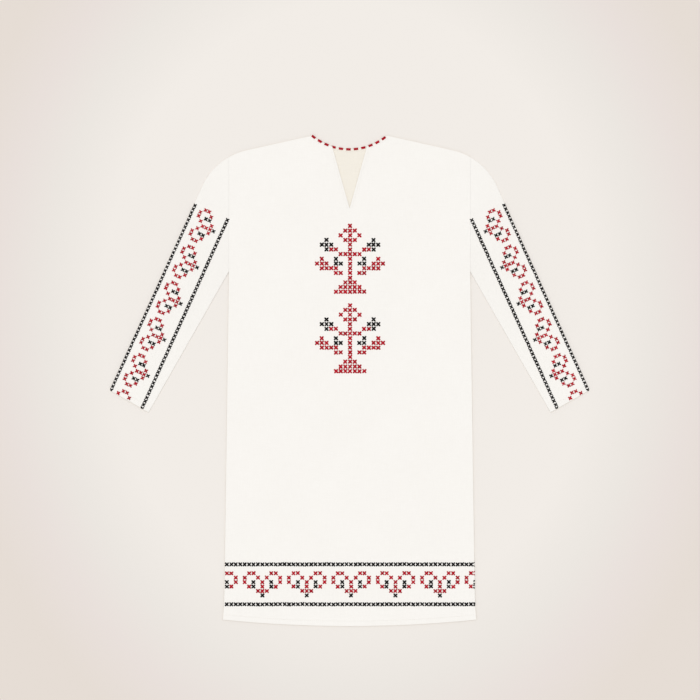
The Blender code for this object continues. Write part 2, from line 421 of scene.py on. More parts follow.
def quads(index, wrap=False):
    """Quads over a grid of point numbers, the second way round closed if wrap is set."""
    if wrap:
        index = np.concatenate([index, index[:, :1]], axis=1)
    return np.stack(
        [index[:-1, :-1], index[:-1, 1:], index[1:, 1:], index[1:, :-1]], axis=-1
    ).reshape(-1, 4)


# ---------------------------------------------------------------------------- body panels
# Distances from an edge of the rows next to it, close together where turnings of 6 and 13 mm
# end. Columns need only the first of them.
NEAR_EDGE = np.array([0.0, 0.9, 3.2, 5.2, 6.0, 6.6, 7.1, 9.0, 12.4, 13.1, 13.6, 14.2, 18.0]) * MM
NEAR_SLIT = NEAR_EDGE[:8]
NEAR_SEAM = NEAR_EDGE[:5]
FINE_STEP = 6.5 * MM  # between rows and between columns elsewhere
RIM_TURN = np.radians([35, 65, 90, 115, 145])  # the rim's rings, on its half circle


def spread(start, end, step):
    """Evenly spaced values from start to end, without the ends, no further apart than step."""
    count = max(1, math.ceil((end - start) / step))
    return np.linspace(start, end, count + 1)[1:-1]


def half_grid(slit):
    """Grid of x and drop over the right half of a panel, rows down and columns outward.

    A column starts at its own place on the top edge and follows the slit's edge or the side by
    its share of the way between them. Rows are close together near the top edge and the hem,
    and one row passes through the slit's tip: its number comes with the grid.
    """
    start = SLIT_HALF if slit else 0.0
    armhole = ARMHOLE_HALF - GAP / 2
    first = start + NEAR_SLIT if slit else np.array([0.0])
    last = armhole - NEAR_SEAM[::-1]
    top_x = np.concatenate([
        first,
        spread(first[-1], NECK_HALF, FINE_STEP),
        [NECK_HALF],
        spread(NECK_HALF, last[0], FINE_STEP),
        last,
    ])
    top = top_drop(top_x)
    share = (top_x - start) / (armhole - start)
    hem = hem_drop(share * HEM_HALF)
    tip = top + (SLIT_TIP_DROP - top[0]) / (hem[0] - top[0]) * (hem - top)

    depth = SLIT_TIP_DROP - top[0]
    before_tip = spread(NEAR_EDGE[-1], depth, FINE_STEP) / depth
    run = LENGTH - SLIT_TIP_DROP
    after_tip = spread(0, run - NEAR_EDGE[-1], FINE_STEP) / run
    rows = [top + offset for offset in NEAR_EDGE]
    rows += [top + part * (tip - top) for part in before_tip]
    rows += [tip]
    rows += [tip + part * (hem - tip) for part in after_tip]
    rows += [hem - offset for offset in NEAR_EDGE[::-1]]
    drop = np.array(rows)
    opening, opening_top = (slit_half(drop), slit_half(top)) if slit else (0.0, 0.0)
    x = top_x + (1 - share) * (opening - opening_top) + share * (side_half(drop) - side_half(top))
    return x, drop, len(NEAR_EDGE) + len(before_tip)


def panel_boundary(index_right, index_left, tip_row, slit):
    """Point numbers round the panel's outline, clockwise from the right half's top inner corner."""
    right = list(index_right[0, :]) + list(index_right[1:, -1]) + list(index_right[-1, -2::-1])
    left = list(index_left[-1, 1:]) + list(index_left[-2::-1, -1]) + list(index_left[0, -2::-1])
    loop = right + left
    if slit:
        return loop + list(index_left[1:tip_row, 0]) + list(index_right[tip_row:0:-1, 0])
    return loop[:-1]


def inward_of(outline):
    """Unit directions from a panel's outline into it: at each point, a quarter turn from the
    mean of the two edges that meet there."""
    ahead = np.roll(outline, -1, axis=0) - outline
    ahead /= np.linalg.norm(ahead, axis=1, keepdims=True)
    turn = ahead + np.roll(ahead, 1, axis=0)
    turn /= np.maximum(np.linalg.norm(turn, axis=1, keepdims=True), 1e-9)
    return np.stack([-turn[:, 1], turn[:, 0]], axis=-1)


def add_panel(name, slit, top_face, under_face, materials):
    """A body panel as a closed shell: an upper and a lower grid, and a rounded rim between.

    The left half mirrors the right one. The rim is a half circle across the edge: its points
    stand in from the outline by radius times (1 - sine) and between the faces by cosine of the
    same angle. A second material, where there is one, covers the upper face; on the back it is
    the linen with painted shade, darker and yellower. The rim away from the armhole seam is
    marked for painted shade too, as a darker tone.
    """
    x, drop, tip_row = half_grid(slit)
    index_right = np.arange(x.size).reshape(x.shape)
    index_left = index_right + x.size
    shared = slice(tip_row, None) if slit else slice(None)
    index_left[shared, 0] = index_right[shared, 0]
    plan_x = np.concatenate([x.ravel(), -x.ravel()])
    plan_drop = np.concatenate([drop.ravel(), drop.ravel()])

    loop = np.array(panel_boundary(index_right, index_left, tip_row, slit))
    outline = np.stack([plan_x[loop], plan_drop[loop]], axis=-1)
    inward = inward_of(outline)
    at_seam = (np.abs(outline[:, 0]) > ARMHOLE_HALF - SEAM_REACH) & (outline[:, 1] < UNDERARM_DROP)
    radius = np.where(at_seam, SEAM_RADIUS, EDGE_RADIUS)
    outline[:, 0] += np.where(at_seam, np.sign(outline[:, 0]) * (GAP - SEAM_GAP) / 2, 0)
    face_x, face_drop = plan_x.copy(), plan_drop.copy()
    face_x[loop] = outline[:, 0] + radius * inward[:, 0]
    face_drop[loop] = outline[:, 1] + radius * inward[:, 1]
    upper, lower = top_face(face_x, face_drop), under_face(face_x, face_drop)
    points = [to_world(face_x, face_drop, upper), to_world(face_x, face_drop, lower)]
    plan = [np.stack([plan_x, plan_drop], axis=-1)] * 2
    count = len(plan_x)
    middle, half = (upper[loop] + lower[loop]) / 2, (upper[loop] - lower[loop]) / 2
    rings = [loop]
    for angle in RIM_TURN:
        stand_in = radius * (1 - math.sin(angle))
        ring_x = outline[:, 0] + stand_in * inward[:, 0]
        ring_drop = outline[:, 1] + stand_in * inward[:, 1]
        points.append(to_world(ring_x, ring_drop, middle + half * math.cos(angle)))
        plan.append(outline)
        rings.append(2 * count + (len(rings) - 1) * len(loop) + np.arange(len(loop)))
    rings.append(loop + count)

    upper_faces = [quads(index_right)[:, ::-1], quads(index_left)]
    lower_faces = [quads(index_right + count), quads(index_left + count)[:, ::-1]]
    rim = quads(np.array(rings), wrap=True)
    faces = np.concatenate([*upper_faces, *lower_faces, rim])
    points = np.concatenate(points)
    used, packed = np.unique(faces, return_inverse=True)
    plan = np.concatenate(plan)[used]
    piece = add_mesh(name, points[used], packed.reshape(faces.shape), materials, uv=plan)
    # Painted shade: the rim's rings, except along the armhole seam, are marked for a darker tone.
    edge = np.zeros(len(points))
    edge[2 * count:] = np.tile(np.where(at_seam, 0, 1), len(RIM_TURN))
    set_tone(piece, edge[used])
    # The upper faces take the second material: on the back, the linen with painted shade.
    if len(materials) > 1:
        inside = np.zeros(len(faces), dtype=np.int32)
        inside[: sum(len(part) for part in upper_faces)] = 1
        piece.data.polygons.foreach_set("material_index", inside)
    return piece


# ---------------------------------------------------------------------------- sleeves
SLEEVE_COLUMNS = 30
FOLD_STEPS = 8
ROUND_SECTIONS = 15
SEAM_SECTIONS = (0.4 * MM, 4 * MM)  # how far from the armhole the sections next to it lie
LIP_TURN = np.radians([0, 45, 90, 135, 180])  # the lip's rings, on its half circle


def sleeve_sections():
    """Points along the outer edge and the under edge, at the same shares of their lengths.

    The outer edge is the round from the armhole on, then straight to the cuff. The cuff's
    distance falls along it by the sine of the sum of the two lines' angles.
    """
    seam_x = ARMHOLE_HALF + SEAM_GAP / 2
    first = math.asin((seam_x - ROUND_X) / CORNER_RADIUS)
    second, third = (first + distance / CORNER_RADIUS for distance in SEAM_SECTIONS)
    turn = np.concatenate([[first, second], np.linspace(third, OUTER_SLOPE, ROUND_SECTIONS)])
    round_x = ROUND_X + CORNER_RADIUS * np.sin(turn)
    round_drop = ROUND_DROP - CORNER_RADIUS * np.cos(turn)
    left = cuff_distance(round_x[-1], round_drop[-1]) / math.sin(OUTER_SLOPE + INNER_LEAN)
    near = NEAR_EDGE[::-1]
    steps = np.concatenate([spread(0, left - near[0], FINE_STEP), left - near])
    outer = np.stack([
        np.concatenate([round_x, round_x[-1] + steps * math.cos(OUTER_SLOPE)]),
        np.concatenate([round_drop, round_drop[-1] + steps * math.sin(OUTER_SLOPE)]),
    ], axis=-1)
    walked = np.concatenate([[0], np.cumsum(np.hypot(*np.diff(outer, axis=0).T))])
    share = (walked / walked[-1])[:, None]
    underarm = np.array([seam_x, UNDERARM_DROP])
    cuff = underarm + INNER_LENGTH * np.array([math.sin(INNER_LEAN), math.cos(INNER_LEAN)])
    return outer, underarm * (1 - share) + cuff * share, walked


def sleeve_ring(width, radius):
    """Across-and-up outline of a flattened tube: level top and bottom, half circles at the ends."""
    level = np.linspace(FOLD_RADIUS, width - FOLD_RADIUS, SLEEVE_COLUMNS + 1)
    turn = np.linspace(0, math.pi, FOLD_STEPS + 1)[1:-1]
    bulge = radius * np.sin(turn)
    across = [level, level[-1] + bulge, level[::-1], level[0] - bulge]
    up = [np.full(level.size, radius), radius * np.cos(turn)]
    up += [np.full(level.size, -radius), -radius * np.cos(turn)]
    return np.concatenate(across), np.concatenate(up)


def add_sleeve(name, side, linen):
    """A sleeve as a closed shell: an outer tube and an inner one, with a rounded lip at the
    cuff and a flat end at the armhole.

    The soft rises and the cuff's turning lift the upper layer of both tubes. The lip is a half
    circle from the outer tube to the inner one: its points stand off the wall's middle by the
    cosine, and along the sleeve by the edge's radius times (sine - 1).
    """
    outer, inner, walked = sleeve_sections()
    tubes, charts = [], []
    for radius in (FOLD_RADIUS, GAP / 2):
        for tip, root, along in zip(outer, inner, walked):
            width = np.hypot(*(tip - root))
            across, up = sleeve_ring(width, radius)
            place = root + (across / width)[:, None] * (tip - root)
            level = sleeve_top(side * place[:, 0], place[:, 1]) - SLEEVE_TOP
            lift = np.where(up == radius, level, 0)
            tubes.append(np.stack([side * place[:, 0], place[:, 1], FOLD_RADIUS + up + lift], -1))
            charts.append(np.stack([across, np.full(across.size, along)], -1))
    around, sections = len(tubes[0]), len(outer)
    tubes, charts = np.array(tubes), np.array(charts)
    outer_tube, inner_tube = tubes[:sections], tubes[sections:]
    heading = outer_tube[-1] - outer_tube[-2]
    heading /= np.linalg.norm(heading, axis=1, keepdims=True)
    middle = (outer_tube[-1] + inner_tube[-1]) / 2
    lip = []
    for angle in LIP_TURN:
        reach = EDGE_RADIUS * (math.sin(angle) - 1)
        lip.append(middle + (outer_tube[-1] - middle) * math.cos(angle) + heading * reach)
    outer_tube[-1], inner_tube[-1] = lip[0], lip[-1]
    rings = np.concatenate([outer_tube, lip[1:-1], inner_tube[::-1]])
    between = [charts[sections - 1]] * len(lip[1:-1])
    chart = np.concatenate([charts[:sections], between, charts[sections:][::-1]])
    index = np.arange(rings.shape[0] * around).reshape(rings.shape[0], around)
    faces = quads(np.concatenate([index, index[:1]]), wrap=True)
    points = rings.reshape(-1, 3)
    world = to_world(points[:, 0], points[:, 1], points[:, 2])
    piece = add_mesh(name, world, faces, [linen], uv=chart.reshape(-1, 2), flip=side < 0)
    # Painted shade: the lip's rings at the cuff are marked for a darker tone.
    tone = np.zeros(rings.shape[:2])
    tone[sections:sections + len(between)] = 1.0
    set_tone(piece, tone.ravel())
    return piece


# ---------------------------------------------------------------------------- stitches
PRESSED = 0.30  # how much of its height a stitch keeps under the back
FLOOR_CLEARANCE = 0.02 * MM
LEG_SIDES = 6
LEG_STEPS = 6
LEG_GIRTH = 0.75  # of the pitch, the way round a leg
LEG_NARROWING = 0.68  # how much of its section a leg has lost at its ends
LEG_CENTRE = 0.75  # height of a leg's middle line, in half thicknesses, as the next two
LEG_DIVE = 1.15  # how far down its ends go from there
HUMP_HEIGHT = 1.15  # how far up the upper leg goes over the lower one
HUMP_REACH = 0.62  # of half a leg, how far out from its middle the hump begins


def leg_shape(over):
    """One leg of a cross, along and across and up, in units of half its length, half the thread's
    width and half its height. Its ends narrow by the fifth power of the distance from its
    middle and dive by the sixth; the upper leg humps over the lower one by a raised cosine."""
    along = -np.cos(np.linspace(0, math.pi, LEG_STEPS + 1))
    turn = np.linspace(0, TAU, LEG_SIDES, endpoint=False)
    narrow = np.sqrt(1 - LEG_NARROWING * np.abs(along) ** 5)
    centre = LEG_CENTRE - LEG_DIVE * np.abs(along) ** 6
    if over:
        hump = np.cos(math.pi * np.clip(along / HUMP_REACH, -1, 1))
        centre = centre + HUMP_HEIGHT * (0.5 + 0.5 * hump)
    across = narrow[:, None] * np.cos(turn)
    up = centre[:, None] + narrow[:, None] * np.sin(turn)
    return np.broadcast_to(along[:, None], across.shape), across, up


def stitch_faces(count, sides, steps):
    """Faces of many closed tubes of the same size: quads round them, and quads over their ends."""
    index = np.arange((steps + 1) * sides).reshape(steps + 1, sides)
    faces = [quads(index, wrap=True)]
    for ring, outward in ((index[0], 1), (index[-1], -1)):
        pairs = [[ring[k], ring[k + 1], ring[sides - 2 - k], ring[sides - 1 - k]]
                 for k in range(sides // 2 - 1)]
        faces.append(np.array(pairs)[:, ::outward])
    one = np.concatenate(faces)
    return (one + index.size * np.arange(count)[:, None, None]).reshape(-1, 4)


def cross_legs(centres, pitch, seed, inside, outward):
    """The legs of each cross, as an array of (leg, step, side) and plan x, plan y and height.

    Every cross is set a little off its place, turned a little, and made a little fuller or
    thinner, as hand stitches are. inside is each centre's distance from the line that cuts the
    border, on the side that outward points to. A leg stops at that line, where the cloth is
    turned or sewn, and a leg with little left is dropped.
    """
    random = np.random.default_rng(seed)
    count = len(centres)
    tone = np.clip(0.5 + random.normal(0, TONE_SPREAD, count), 0, 1)
    centres = centres + random.normal(0, PLACE_SPREAD * pitch, (count, 2))
    legs, tones = [], []
    for tilt, over in ((1, False), (-1, True)):
        along, across, up = leg_shape(over)
        angle = tilt * math.pi / 4 + random.normal(0, TURN_SPREAD, count)
        fullness = random.normal(1, WIDTH_SPREAD, count)
        reach = CROSS_SPAN * pitch / math.sqrt(2) * random.normal(1, REACH_SPREAD, count)
        direction = np.stack([np.cos(angle), np.sin(angle)], axis=-1)
        slope = reach * (direction @ np.array(outward))
        limit = (inside - CUT_MARGIN) / np.maximum(np.abs(slope), 1e-6)
        start = np.where(slope < 0, np.maximum(-1, -limit), -1)
        stop = np.where(slope > 0, np.minimum(1, limit), 1)
        kept = stop - start > SHORTEST_LEG
        start, stop, reach = start[kept], stop[kept], reach[kept]
        span = (start + stop)[:, None, None] / 2 + (stop - start)[:, None, None] / 2 * along
        length = reach[:, None, None] * span
        width = fullness[kept][:, None, None] * across * THREAD_HALF * pitch
        (cos, sin), middle = direction[kept].T[:, :, None, None], centres[kept]
        legs.append(np.stack([
            middle[:, 0, None, None] + length * cos - width * sin,
            middle[:, 1, None, None] + length * sin + width * cos,
            np.broadcast_to(up * THREAD_HEIGHT, length.shape),
        ], axis=-1))
        tones.append(tone[kept])
    return np.concatenate(legs), np.concatenate(tones)


def add_crosses(name, centres, pitch, lay, material, inside=math.inf, outward=(1.0, 0.0)):
    """Joined cross stitches. lay turns plan places and heights into points on the cloth."""
    seed = sum(ord(letter) for letter in name)
    inside = np.broadcast_to(inside, len(centres))
    legs, tones = cross_legs(centres, pitch, seed, inside, outward)
    flat = legs.reshape(-1, 3)
    along, _, _ = leg_shape(False)
    round_v = np.broadcast_to(np.arange(LEG_SIDES) / LEG_SIDES, along.shape)
    chart = np.stack([along * CROSS_SPAN * pitch / math.sqrt(2), round_v * LEG_GIRTH * pitch], -1)
    faces = stitch_faces(len(legs), LEG_SIDES, LEG_STEPS)
    piece = add_mesh(name, lay(*flat.T), faces, [material], flip=lay is lay_on_back,
                     uv=np.tile(chart.reshape(-1, 2), (len(legs), 1)))
    set_tone(piece, np.repeat(tones, along.size))
    return piece


def lay_on_front(x, drop, height):
    """Onto the front's upper face."""
    return to_world(x, drop, front_top(x, drop) + height)


def lay_on_back(x, drop, height):
    """Onto the back's lower face, where the cloth presses the stitches flat on the floor."""
    level = back_under(x, drop) - PRESSED * height
    return to_world(x, drop, np.maximum(level, FLOOR_CLEARANCE))


def lay_on_sleeve(side):
    """Onto a sleeve's upper face, from places along and inward from its outer edge.

    Within the fold's radius of that edge, the distance left is walked round the fold: its angle
    is the distance over the radius, and heights stand out along the fold's own radius.
    """
    def lay(along, inward, height):
        """Points at a height over the sleeve's face."""
        past = np.maximum(FOLD_RADIUS - inward, 0)
        angle = past / FOLD_RADIUS
        reach = FOLD_RADIUS + height
        inward_at = np.where(past > 0, FOLD_RADIUS - reach * np.sin(angle), inward)
        x, drop = sleeve_place(along, inward_at)
        level = sleeve_top(side * x, drop) + height
        z = np.where(past > 0, FOLD_RADIUS + reach * np.cos(angle), level)
        return to_world(side * x, drop, z)
    return lay


def border_places(count, start):
    """The border's stitches as (column, row), red and black, over so many columns."""
    columns = np.arange(count)
    red, black = [], [(column, row) for column in columns for row in (0, BORDER_HEIGHT)]
    for line in BORDER:
        for offsets, places in ((line.red, red), (line.black, black)):
            for offset in offsets:
                hit = (columns - start - offset) % BORDER_REPEAT == 0
                places += [(column, line.row) for column in columns[hit]]
    return np.array(red, dtype=float), np.array(black, dtype=float)


def make_hem_band(threads, side, lay):
    """The border along the hem of one panel, as red and black crosses.

    The rows follow a straight thread of the linen, so they stay level while the hem curves. The
    last column is cut by the side seam.
    """
    pieces = []
    charts = border_places(HEM_COUNT, HEM_REPEAT_START)
    for places, thread, colour in zip(charts, threads, ("red", "black")):
        x = HEM_FIRST_X + places[:, 0] * HEM_PITCH
        drop = HEM_TOP_DROP + places[:, 1] * HEM_PITCH
        pieces.append(add_crosses(f"hem_band_{side}_{colour}", np.stack([x, drop], axis=-1),
                                  HEM_PITCH, lay, thread, inside=side_half(drop) - x))
    return pieces


def make_trees(threads):
    """Two tree motifs, one above the other, on the middle of the front."""
    pieces = []
    for places, thread, colour in zip(tree_chart(), threads, ("red", "black")):
        places = np.array(sorted(places), dtype=float)
        x = TREE_X + places[:, 0] * TREE_PITCH
        centres = [np.stack([x, top + places[:, 1] * TREE_PITCH], -1) for top in TREE_TOP_DROPS]
        pieces.append(add_crosses(f"trees_{colour}", np.concatenate(centres), TREE_PITCH,
                                  lay_on_front, thread))
    return pieces


def make_sleeve_band(threads, name, side):
    """The border along a sleeve: one black line by the folded edge, the other inside it. The
    cuff cuts it a little askew."""
    pieces = []
    lean = OUTER_SLOPE + INNER_LEAN
    charts = border_places(SLEEVE_COUNT, SLEEVE_REPEAT_START)
    for places, thread, colour in zip(charts, threads, ("red", "black")):
        along = SLEEVE_FIRST + places[:, 0] * SLEEVE_PITCH
        inward = SLEEVE_EDGE_INSET + places[:, 1] * SLEEVE_PITCH
        inside = cuff_distance(*sleeve_place(along, inward))
        pieces.append(add_crosses(f"{name}_band_{colour}", np.stack([along, inward], axis=-1),
                                  SLEEVE_PITCH, lay_on_sleeve(side), thread, inside=inside,
                                  outward=(math.sin(lean), math.cos(lean))))
    return pieces


# ---------------------------------------------------------------------------- hem stitches
HEM_STITCH_STEP = 4.2 * MM
HEM_STITCH_HALF = 1.35 * MM
HEM_STITCH_WIDTH = 0.34 * MM  # half the thread's width, as the next one
HEM_STITCH_HEIGHT = 0.24 * MM
HEM_STITCH_SPREAD = 0.12 * MM  # standard deviation of a stitch's place
HEM_STITCH_TONE = 0.45

# A small stitch at four places: along it, how wide it is there and how high its middle is.
STITCH_ALONG = np.array([-1.0, -0.55, 0.55, 1.0])
STITCH_NARROW = np.array([0.5, 1.0, 1.0, 0.5])
STITCH_CENTRE = np.array([-1.1, 0.45, 0.45, -1.1])

# Where rows of small stitches run: how far from the turning's inner edge, and where they end.
HEM_ROW_INSET = 1.8 * MM  # at the cuffs too
SLIT_ROW_INSET = 1.4 * MM
NECK_ROW_RADIUS = NECK_RADIUS + NECK_TURN - 0.6 * MM
ROW_END = 4 * MM  # short of a side seam or a fold
CORNER_END = 3 * MM  # short of a corner
NECK_ROW_START = 7 * MM  # past the slit's corner
SLIT_ROW_PAST = 2 * MM  # below the slit's tip

# How many points the path of a row has, which also seeds its unevenness.
HEM_ROW_POINTS = 90
NECK_ROW_POINTS = 24
SLIT_ROW_POINTS = 20
CUFF_ROW_POINTS = 30


def add_running_stitch(name, path, lay, material):
    """Small tone-on-tone stitches that hold a turned edge, evenly spaced along a path of plan
    points. Each is a closed tube of four sides whose ends dive into the cloth."""
    steps = np.hypot(*np.diff(path, axis=0).T)
    walked = np.concatenate([[0], np.cumsum(steps)])
    random = np.random.default_rng(len(path))
    middles = np.arange(HEM_STITCH_STEP, walked[-1] - HEM_STITCH_STEP / 2, HEM_STITCH_STEP)
    middles = middles + random.normal(0, HEM_STITCH_SPREAD, middles.size)
    place = middles[:, None] + STITCH_ALONG * HEM_STITCH_HALF
    x, y = (np.interp(place, walked, path[:, axis]) for axis in (0, 1))
    heading = np.stack([x[:, -1] - x[:, 0], y[:, -1] - y[:, 0]], axis=-1)
    heading /= np.linalg.norm(heading, axis=1, keepdims=True)
    turn = np.linspace(0, TAU, 4, endpoint=False)
    across = STITCH_NARROW[:, None] * np.cos(turn) * HEM_STITCH_WIDTH
    up = STITCH_CENTRE[:, None] + STITCH_NARROW[:, None] * np.sin(turn)
    up = up * HEM_STITCH_HEIGHT
    plan_x = x[:, :, None] - across * heading[:, 1, None, None]
    plan_y = y[:, :, None] + across * heading[:, 0, None, None]
    points = lay(plan_x.ravel(), plan_y.ravel(), np.broadcast_to(up, plan_x.shape).ravel())
    faces = stitch_faces(len(middles), turn.size, STITCH_ALONG.size - 1)
    uv = np.stack([plan_x.ravel(), plan_y.ravel()], axis=-1)
    piece = add_mesh(name, points, faces, [material], uv=uv)
    set_tone(piece, np.full(len(points), HEM_STITCH_TONE))
    return piece


def lay_on_back_inside(x, drop, height):
    """Onto the back's upper face."""
    return to_world(x, drop, back_top(x, drop) + height)


def neck_row(start, stop):
    """Places along the neck's row of small stitches, an arc from one angle to another."""
    angle = np.linspace(start, stop, NECK_ROW_POINTS)
    return np.stack([
        NECK_ROW_RADIUS * np.sin(angle),
        NECK_CENTRE + NECK_ROW_RADIUS * np.cos(angle),
    ], axis=-1)


def cuff_row():
    """Places along a cuff's row of small stitches, along and inward from the sleeve's outer
    edge. The cuff meets that edge askew, by the sum of the two edges' angles."""
    lean = OUTER_SLOPE + INNER_LEAN
    corner_along, corner_inward = along_sleeve(
        ARMHOLE_HALF + GAP / 2 + INNER_LENGTH * math.sin(INNER_LEAN),
        UNDERARM_DROP + INNER_LENGTH * math.cos(INNER_LEAN),
    )
    inward = np.linspace(ROW_END, corner_inward - CORNER_END, CUFF_ROW_POINTS)
    back_off = (CUFF_TURN - HEM_ROW_INSET) / math.sin(lean)
    along = corner_along - back_off - (inward - corner_inward) / math.tan(lean)
    return np.stack([along, inward], axis=-1)


def make_edge_stitching(linen):
    """The small stitches along the hem, both edges of the slit, the neck and the two cuffs."""
    x = np.linspace(-HEM_HALF + ROW_END, HEM_HALF - ROW_END, HEM_ROW_POINTS)
    hem = np.stack([x, hem_drop(x) - HEM_TURN + HEM_ROW_INSET], axis=-1)
    front = [("hem_stitching", hem)]
    slit_top = neck_drop(SLIT_HALF)
    drop = np.linspace(slit_top + NECK_TURN, SLIT_TIP_DROP + SLIT_ROW_PAST, SLIT_ROW_POINTS)
    slant = math.hypot(1, SLIT_HALF / (SLIT_TIP_DROP - slit_top))
    beside_slit = slit_half(drop) + (NECK_TURN - SLIT_ROW_INSET) * slant
    past_slit = math.asin((SLIT_HALF + NECK_ROW_START) / NECK_ROW_RADIUS)
    at_shoulder = math.asin((NECK_HALF - CORNER_END) / NECK_RADIUS)
    for side, name in ((1, "left"), (-1, "right")):
        neck = neck_row(side * past_slit, side * at_shoulder)
        slit = np.stack([side * beside_slit, drop], axis=-1)
        front += [(f"neck_stitching_{name}", neck), (f"slit_stitching_{name}", slit)]
    in_slit = math.asin((SLIT_HALF - CORNER_END) / NECK_ROW_RADIUS)
    inner = neck_row(-in_slit, in_slit)
    pieces = {
        "front": [add_running_stitch(*row, lay_on_front, linen) for row in front],
        "back": [add_running_stitch("back_neck_stitching", inner, lay_on_back_inside, linen)],
    }
    for side, name in ((1, "sleeve_left"), (-1, "sleeve_right")):
        row = cuff_row()
        pieces[name] = [add_running_stitch(f"{name}_stitching", row, lay_on_sleeve(side), linen)]
    return pieces


# ---------------------------------------------------------------------------- materials
def node(tree, kind, values=None, **settings):
    """A shader node with its settings and its unlinked input values."""
    made = tree.nodes.new(kind)
    for key, value in settings.items():
        setattr(made, key, value)
    for key, value in (values or {}).items():
        made.inputs[key].default_value = value
    return made


def math_node(tree, operation, first, second=None):
    """A Math node; first and second are outputs or numbers."""
    made = tree.nodes.new("ShaderNodeMath")
    made.operation = operation
    for socket, value in zip(made.inputs, (first, second)):
        if value is None:
            continue
        if isinstance(value, bpy.types.NodeSocket):
            tree.links.new(value, socket)
        else:
            socket.default_value = value
    return made.outputs[0]


def crowns(tree, distance, pitch=1.0):
    """Round threads side by side: |sin(pi d / p)| over a distance d, for threads p wide."""
    turns = math_node(tree, "MULTIPLY", distance, math.pi / pitch)
    return math_node(tree, "ABSOLUTE", math_node(tree, "SINE", turns))


def weighted_sum(tree, start, parts):
    """A number or an output, plus each of the parts' outputs times its weight."""
    total = start
    for output, weight in parts:
        total = math_node(tree, "ADD", math_node(tree, "MULTIPLY", output, weight), total)
    return total


def two_tones(tree, amount, first, second):
    """The tone between two, by an output from 0 to 1. Either tone is a colour or an output."""
    mix = node(tree, "ShaderNodeMix", data_type="RGBA", clamp_factor=True)
    tree.links.new(amount, mix.inputs["Factor"])
    for key, tone in (("A", first), ("B", second)):
        if isinstance(tone, bpy.types.NodeSocket):
            tree.links.new(tone, mix.inputs[key])
        else:
            mix.inputs[key].default_value = (*tone, 1)
    return mix.outputs["Result"]


def start_material(name, values):
    """A new material, its node tree and its shader, with the shader's even values set."""
    material = bpy.data.materials.new(name)
    material.use_nodes = True
    shader = material.node_tree.nodes["Principled BSDF"]
    for key, value in values.items():
        shader.inputs[key].default_value = value
    return material, material.node_tree, shader


def read_cloth_chart(tree):
    """The piece's own chart, whole and as its two distances in metres."""
    chart = node(tree, "ShaderNodeUVMap", uv_map="cloth").outputs["UV"]
    parts = node(tree, "ShaderNodeSeparateXYZ")
    tree.links.new(chart, parts.inputs[0])
    return chart, parts.outputs["X"], parts.outputs["Y"]


RELIEF = 0.2 * MM  # how high the bump's threads stand


def add_relief(tree, shader, height, strength):
    """Threads too fine for the mesh, as bump."""
    bump = node(tree, "ShaderNodeBump", {"Strength": strength, "Distance": RELIEF})
    tree.links.new(height, bump.inputs["Height"])
    tree.links.new(bump.outputs["Normal"], shader.inputs["Normal"])


# Painted light on the floor: its tones at their shares of the way from the bright even middle
# out to where it stays dark, a painted fall-off of light.
FLOOR_PAINTED_LIGHT_TONES = [
    (0.00, (0.841, 0.803, 0.763)),
    (0.34, (0.793, 0.757, 0.718)),
    (0.63, (0.772, 0.710, 0.679)),
    (0.92, (0.749, 0.686, 0.635)),
]
EVEN_REACH = 0.53  # half the width of the even ellipse
DARK_REACH = 0.88
ELLIPSE_STRETCH = 1.25  # how much longer than wide it is
ELLIPSE_CENTRE_Y = 0.15


def floor_with_painted_light():
    """Pale warm backdrop paper with painted light: an even tone out to an ellipse round its centre,
    and a little darker from there on, as a painted fall-off of light."""
    material, tree, shader = start_material("pale_floor_painted_light", {
        "Roughness": 0.95,
        "Specular IOR Level": 0.1,
    })
    chart = node(tree, "ShaderNodeTexCoord")
    centred = node(tree, "ShaderNodeMapping", {
        "Location": (0, -ELLIPSE_CENTRE_Y / ELLIPSE_STRETCH, 0),
        "Scale": (1, 1 / ELLIPSE_STRETCH, 1),
    })
    tree.links.new(chart.outputs["Object"], centred.inputs["Vector"])
    away = node(tree, "ShaderNodeVectorMath", operation="LENGTH")
    tree.links.new(centred.outputs[0], away.inputs[0])
    span = node(tree, "ShaderNodeMapRange", {"From Min": EVEN_REACH, "From Max": DARK_REACH})
    tree.links.new(away.outputs["Value"], span.inputs["Value"])
    painted_light = node(tree, "ShaderNodeValToRGB")
    ramp = painted_light.color_ramp
    for element, (place, tone) in zip(ramp.elements, (FLOOR_PAINTED_LIGHT_TONES[0], FLOOR_PAINTED_LIGHT_TONES[-1])):
        element.position = place
        element.color = (*tone, 1)
    for place, tone in FLOOR_PAINTED_LIGHT_TONES[1:-1]:
        ramp.elements.new(place).color = (*tone, 1)
    tree.links.new(span.outputs["Result"], painted_light.inputs["Fac"])
    tree.links.new(painted_light.outputs["Color"], shader.inputs["Base Color"])
    return material


WEAVE_PITCH = 0.9 * MM
CROWN_ACROSS = 0.9  # the power that shapes a crown across its thread
CROWN_ALONG = 0.35  # the same along it
SLUB_STRETCHES = ((60, 1500, 1), (1500, 60, 1))  # thick places drawn out along weft and warp
SLUB_HEIGHT = 1.3

# How much slubs, crowns and a wide mottle add to the tone, and the tone where slubs and mottle
# are at their means of 1 and 0.5. The crowns' share is painted shade: lighter on the threads'
# crowns, darker in the gaps between them.
SLUB_TONE = 0.85
CROWN_PAINTED_SHADE = 0.42
MOTTLE_TONE = 0.5
MEAN_TONE = 0.36
# The darker tone, and its share at a point number of 1: painted shade on the rounded edges, and the
# small linen stitches' own darker tone at their lower number.
EDGE_SHADE_AND_STITCH_TONE = (0.80, 0.735, 0.64)
EDGE_SHADE_AND_STITCH_SHARE = 0.65


